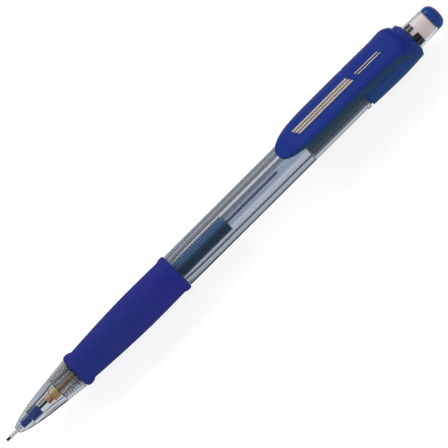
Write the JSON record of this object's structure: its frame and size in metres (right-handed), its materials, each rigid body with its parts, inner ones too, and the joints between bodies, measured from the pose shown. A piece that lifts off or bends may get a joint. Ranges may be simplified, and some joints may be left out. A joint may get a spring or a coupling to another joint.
{
  "type": "mechanical pencil",
  "caption": "Shake-to-advance mechanical pencil with a clear barrel, rubber grip, sprung clip and an eraser under a press-button cap.",
  "frame": {"origin": "writing point: centre of the lead's flat front face, on the pencil's axis", "axes": "+X from the writing point to the push button, +Z out through the clip, +Y to the clip's side"},
  "size_m": [0.144, 0.0104, 0.0115],
  "materials": {
    "clear_plastic": "polished clear, faint smoke tint",
    "blue_plastic": "moulded gloss blue",
    "carrier_blue": "moulded blue",
    "grip_rubber": "soft matte royal blue",
    "dark_rubber": "matte",
    "graphite": "dull grey, stands in for pencil lead",
    "tip_steel": "polished",
    "brass": "turned",
    "spring_steel": "drawn wire",
    "coil_steel": "dark blue coated wire",
    "tube_plastic": "translucent",
    "dark_plastic": "moulded near-black",
    "white_vinyl": "soft matte white"
  },
  "bodies": {
    "barrel": {"barrel": "clear_plastic", "grip": "grip_rubber", "clip_collar": "blue_plastic", "chuck_sleeve": "clear_plastic", "return_spring": "spring_steel"},
    "nose": {"nose_cone": "clear_plastic"},
    "tip": {"tip_slider": "carrier_blue", "tip_pipe": "tip_steel", "lead_retainer": "dark_rubber"},
    "chuck": {"chuck_shank": "brass", "tube_connector": "dark_plastic", "lead_tube": "tube_plastic", "weight_cushion": "dark_rubber"},
    "jaw_1": {"chuck_jaw_1": "brass"},
    "jaw_2": {"chuck_jaw_2": "brass"},
    "jaw_3": {"chuck_jaw_3": "brass"},
    "clutch": {"clutch_ring": "brass"},
    "lead": {"writing_lead": "graphite"},
    "spare": {"spare_lead": "graphite"},
    "weight": {"shaker_weight": "coil_steel"},
    "eraser": {"eraser_holder": "dark_plastic", "eraser": "white_vinyl"},
    "cap": {"cap_sleeve": "clear_plastic", "cap_crown": "blue_plastic"},
    "clip": {"clip": "blue_plastic"}
  },
  "joints": [
    {"name": "button_press", "type": "slide", "parent": "barrel", "child": "chuck", "axis": [-1, 0, 0], "range_m": [0, 0.0022], "deforming": ["return_spring"]},
    {"name": "clutch_travel", "type": "slide", "parent": "barrel", "child": "clutch", "axis": [-1, 0, 0], "range_m": [0, 0.00078]},
    {"name": "jaw_1_open", "type": "hinge", "parent": "chuck", "child": "jaw_1", "pos_m": [0.021, 0, 0.00055], "axis": [0, 1, 0], "range_deg": [0, 2]},
    {"name": "jaw_2_open", "type": "hinge", "parent": "chuck", "child": "jaw_2", "pos_m": [0.021, -0.00048, -0.00028], "axis": [0, -0.5, 0.866], "range_deg": [0, 2]},
    {"name": "jaw_3_open", "type": "hinge", "parent": "chuck", "child": "jaw_3", "pos_m": [0.021, 0.00048, -0.00028], "axis": [0, -0.5, -0.866], "range_deg": [0, 2]},
    {"name": "nose_unscrew", "type": "slide", "parent": "barrel", "child": "nose", "axis": [-1, 0, 0], "range_m": [0, 0.012]},
    {"name": "tip_retract", "type": "slide", "parent": "nose", "child": "tip", "axis": [-1, 0, 0], "range_m": [-0.0022, 0]},
    {"name": "lead_feed", "type": "slide", "parent": "chuck", "child": "lead", "axis": [-1, 0, 0], "range_m": [-0.0011, 0.005]},
    {"name": "spare_lead_slide", "type": "slide", "parent": "chuck", "child": "spare", "axis": [1, 0, 0], "range_m": [0, 0.03]},
    {"name": "weight_slide", "type": "slide", "parent": "barrel", "child": "weight", "axis": [1, 0, 0], "range_m": [0, 0.025]},
    {"name": "cap_pull", "type": "slide", "parent": "chuck", "child": "cap", "axis": [1, 0, 0], "range_m": [0, 0.025]},
    {"name": "eraser_pull", "type": "slide", "parent": "chuck", "child": "eraser", "axis": [1, 0, 0], "range_m": [0, 0.01]},
    {"name": "clip_flex", "type": "hinge", "parent": "barrel", "child": "clip", "pos_m": [0.126, 0, 0.0063], "axis": [0, 1, 0], "range_deg": [0, 4]}
  ],
  "couplings": [
    {"joint": "clutch_travel", "follows": "button_press", "ratio": 0.35},
    {"joint": "jaw_1_open", "follows": "button_press", "rad_per_m": 15},
    {"joint": "jaw_2_open", "follows": "button_press", "rad_per_m": 15},
    {"joint": "jaw_3_open", "follows": "button_press", "rad_per_m": 15},
    {"joint": "eraser_pull", "follows": "cap_pull", "ratio": 0.4}
  ]
}
